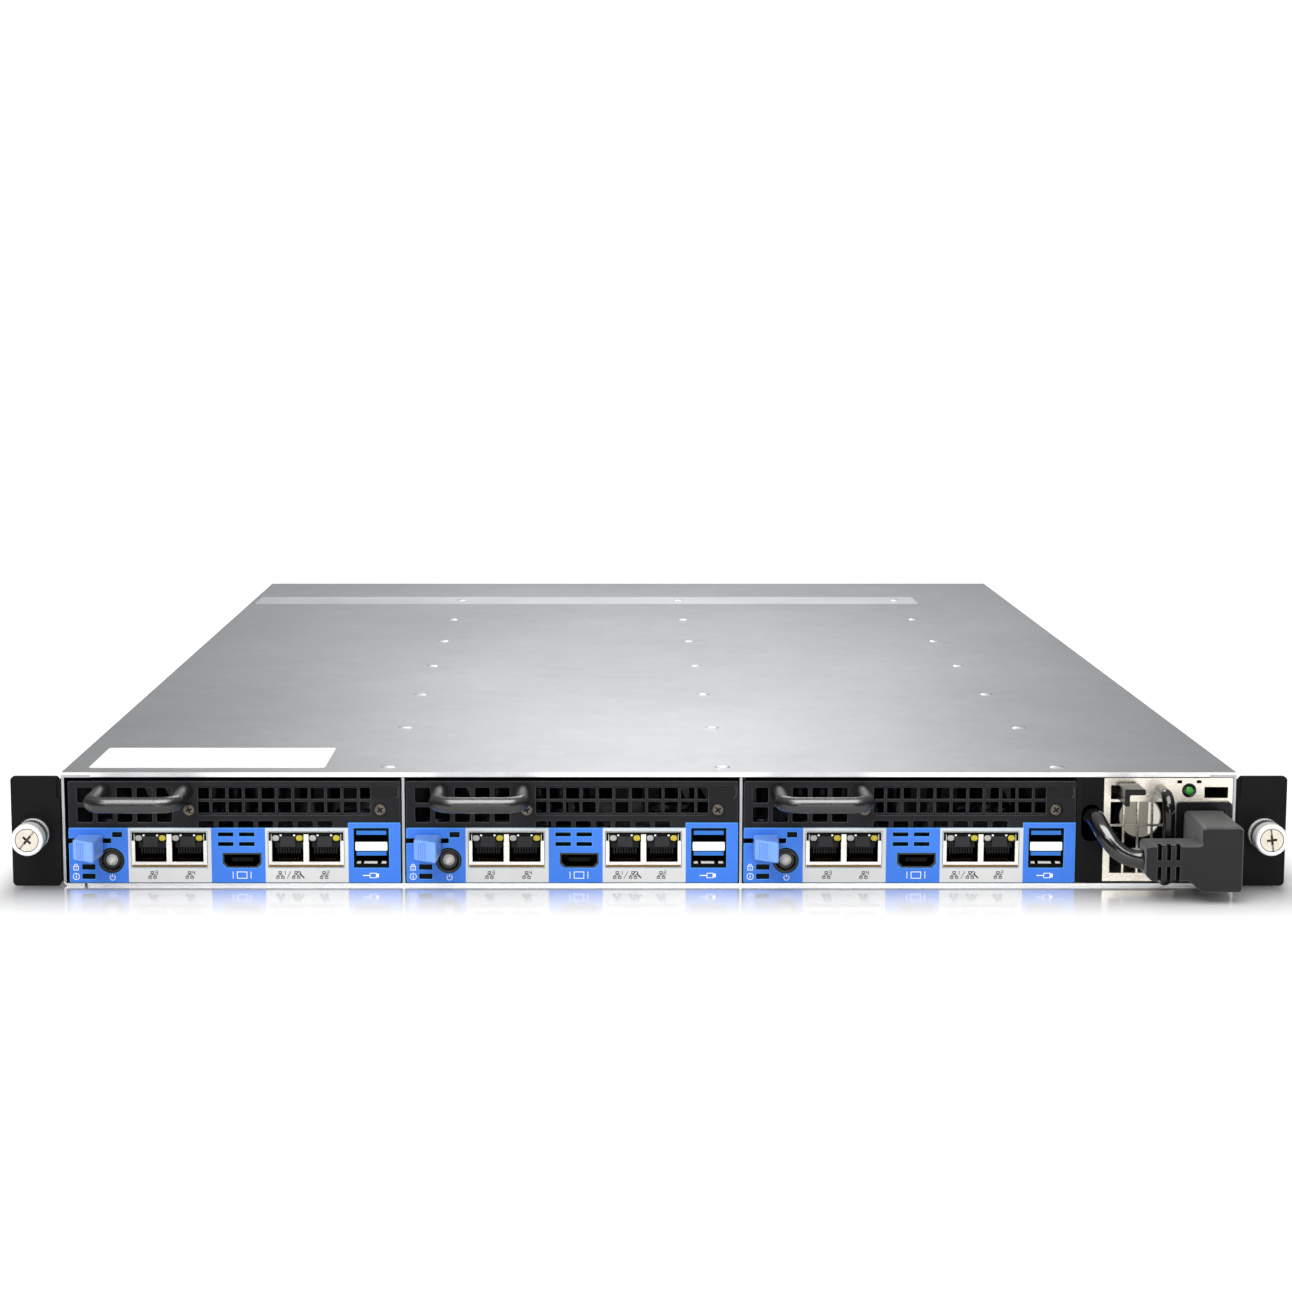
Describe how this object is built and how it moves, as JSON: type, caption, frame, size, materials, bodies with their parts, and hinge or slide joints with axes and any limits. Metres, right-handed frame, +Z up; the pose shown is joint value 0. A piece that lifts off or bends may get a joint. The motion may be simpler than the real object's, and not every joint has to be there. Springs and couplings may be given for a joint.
{
  "type": "multi-node rack server",
  "caption": "Flat rack server chassis whose compute sleds and power supply slide out of the front; each sled has a handle, latch, vents and ports.",
  "frame": {"origin": "middle of the width, on the rack mounting plane behind the ears, at the underside of the floor", "axes": "+X to the right seen from the front, +Y to the rear, +Z up"},
  "size_m": [0.4826, 0.6845, 0.0443],
  "materials": {
    "galvanised_steel": "satin galvanised sheet",
    "black_paint": "satin powder coat",
    "blue_paint": "printed panel, blue with silver fields",
    "black_rod": "satin black rod",
    "blue_plastic": "moulded tab on a steel lever",
    "black_plastic": "satin",
    "black_gloss": "gloss",
    "jack_shell": "plated shell",
    "circuit_board": "solder mask",
    "fin_aluminium": "plain",
    "nickel": "bright nickel",
    "nickel_steel": "plated sheet",
    "lamp_lens": "lens in a black rim",
    "plug_rubber": "moulded",
    "cord_rubber": "smooth jacket"
  },
  "bodies": {
    "chassis": {"chassis_base": "galvanised_steel", "rear_panel": "galvanised_steel", "top_cover": "galvanised_steel", "cover_rivets": "galvanised_steel", "bay_dividers": "galvanised_steel", "rack_ears": "black_paint", "filler_strip": "black_paint", "midplane": "circuit_board", "fan_frames": "black_plastic", "rear_inlet": "black_plastic"},
    "thumbscrew_left": {"thumbscrew_left": "nickel"},
    "thumbscrew_right": {"thumbscrew_right": "nickel"},
    "fan_1": {"fan_rotor_1": "black_plastic"},
    "fan_2": {"fan_rotor_2": "black_plastic"},
    "fan_3": {"fan_rotor_3": "black_plastic"},
    "fan_4": {"fan_rotor_4": "black_plastic"},
    "fan_5": {"fan_rotor_5": "black_plastic"},
    "fan_6": {"fan_rotor_6": "black_plastic"},
    "sled_1": {"sled_1_tray": "galvanised_steel", "sled_1_face_plate": "black_paint", "sled_1_io_plate": "blue_paint", "sled_1_slot_cover": "black_paint", "sled_1_handle": "black_rod", "sled_1_network_jacks": "jack_shell", "sled_1_video_usb_jacks": "jack_shell", "sled_1_mainboard": "circuit_board", "sled_1_board_parts": "fin_aluminium"},
    "latch_1": {"sled_1_latch": "blue_plastic"},
    "button_1": {"sled_1_power_button": "black_plastic"},
    "sled_2": {"sled_2_tray": "galvanised_steel", "sled_2_face_plate": "black_paint", "sled_2_io_plate": "blue_paint", "sled_2_slot_cover": "black_paint", "sled_2_handle": "black_rod", "sled_2_network_jacks": "jack_shell", "sled_2_video_usb_jacks": "jack_shell", "sled_2_mainboard": "circuit_board", "sled_2_board_parts": "fin_aluminium"},
    "latch_2": {"sled_2_latch": "blue_plastic"},
    "button_2": {"sled_2_power_button": "black_plastic"},
    "sled_3": {"sled_3_tray": "galvanised_steel", "sled_3_face_plate": "black_paint", "sled_3_io_plate": "blue_paint", "sled_3_slot_cover": "black_paint", "sled_3_handle": "black_rod", "sled_3_network_jacks": "jack_shell", "sled_3_video_usb_jacks": "jack_shell", "sled_3_mainboard": "circuit_board", "sled_3_board_parts": "fin_aluminium"},
    "latch_3": {"sled_3_latch": "blue_plastic"},
    "button_3": {"sled_3_power_button": "black_plastic"},
    "psu": {"psu_case": "nickel_steel", "psu_handle": "black_rod", "psu_status_lamp": "lamp_lens", "psu_inlet": "black_plastic", "psu_fan_frame": "black_plastic"},
    "psu_fan": {"psu_fan_rotor": "black_plastic"},
    "psu_latch": {"psu_latch": "black_gloss"},
    "power_lead": {"power_plug": "plug_rubber", "power_cord": "cord_rubber"}
  },
  "joints": [
    {"name": "thumbscrew_left_turn", "type": "hinge", "parent": "chassis", "child": "thumbscrew_left", "pos_m": [-0.23255, -0.002, 0.0206], "axis": [0, 1, 0], "continuous": true},
    {"name": "thumbscrew_right_turn", "type": "hinge", "parent": "chassis", "child": "thumbscrew_right", "pos_m": [0.23255, -0.002, 0.0206], "axis": [0, 1, 0], "continuous": true},
    {"name": "fan_1_spin", "type": "hinge", "parent": "chassis", "child": "fan_1", "pos_m": [-0.1858, 0.619, 0.021], "axis": [0, 1, 0], "continuous": true},
    {"name": "fan_2_spin", "type": "hinge", "parent": "chassis", "child": "fan_2", "pos_m": [-0.1278, 0.619, 0.021], "axis": [0, 1, 0], "continuous": true},
    {"name": "fan_3_spin", "type": "hinge", "parent": "chassis", "child": "fan_3", "pos_m": [-0.058, 0.619, 0.021], "axis": [0, 1, 0], "continuous": true},
    {"name": "fan_4_spin", "type": "hinge", "parent": "chassis", "child": "fan_4", "pos_m": [0, 0.619, 0.021], "axis": [0, 1, 0], "continuous": true},
    {"name": "fan_5_spin", "type": "hinge", "parent": "chassis", "child": "fan_5", "pos_m": [0.0698, 0.619, 0.021], "axis": [0, 1, 0], "continuous": true},
    {"name": "fan_6_spin", "type": "hinge", "parent": "chassis", "child": "fan_6", "pos_m": [0.1278, 0.619, 0.021], "axis": [0, 1, 0], "continuous": true},
    {"name": "sled_1_slide", "type": "slide", "parent": "chassis", "child": "sled_1", "axis": [0, -1, 0], "range_m": [0, 0.5]},
    {"name": "latch_1_swing", "type": "hinge", "parent": "sled_1", "child": "latch_1", "pos_m": [-0.2106, 0.034, 0.01757], "axis": [0, 0, 1], "range_deg": [0, 5], "stiffness_Nm_per_rad": 0.5},
    {"name": "button_1_press", "type": "slide", "parent": "sled_1", "child": "button_1", "axis": [0, 1, 0], "range_m": [0, 0.0012], "stiffness_N_per_m": 800},
    {"name": "sled_2_slide", "type": "slide", "parent": "chassis", "child": "sled_2", "axis": [0, -1, 0], "range_m": [0, 0.5]},
    {"name": "latch_2_swing", "type": "hinge", "parent": "sled_2", "child": "latch_2", "pos_m": [-0.0828, 0.034, 0.01757], "axis": [0, 0, 1], "range_deg": [0, 5], "stiffness_Nm_per_rad": 0.5},
    {"name": "button_2_press", "type": "slide", "parent": "sled_2", "child": "button_2", "axis": [0, 1, 0], "range_m": [0, 0.0012], "stiffness_N_per_m": 800},
    {"name": "sled_3_slide", "type": "slide", "parent": "chassis", "child": "sled_3", "axis": [0, -1, 0], "range_m": [0, 0.5]},
    {"name": "latch_3_swing", "type": "hinge", "parent": "sled_3", "child": "latch_3", "pos_m": [0.045, 0.034, 0.01757], "axis": [0, 0, 1], "range_deg": [0, 5], "stiffness_Nm_per_rad": 0.5},
    {"name": "button_3_press", "type": "slide", "parent": "sled_3", "child": "button_3", "axis": [0, 1, 0], "range_m": [0, 0.0012], "stiffness_N_per_m": 800},
    {"name": "psu_slide", "type": "slide", "parent": "chassis", "child": "psu", "axis": [0, -1, 0], "range_m": [0, 0.3]},
    {"name": "psu_fan_spin", "type": "hinge", "parent": "psu", "child": "psu_fan", "pos_m": [0.1921, 0.022, 0.02174], "axis": [0, 1, 0], "continuous": true},
    {"name": "psu_latch_swing", "type": "hinge", "parent": "psu", "child": "psu_latch", "pos_m": [0.1778, 0.016, 0.03614], "axis": [0, 0, 1], "range_deg": [0, 7], "stiffness_Nm_per_rad": 0.3},
    {"name": "lead_unplug", "type": "slide", "parent": "psu", "child": "power_lead", "axis": [0, -1, 0], "range_m": [0, 0.02]}
  ]
}
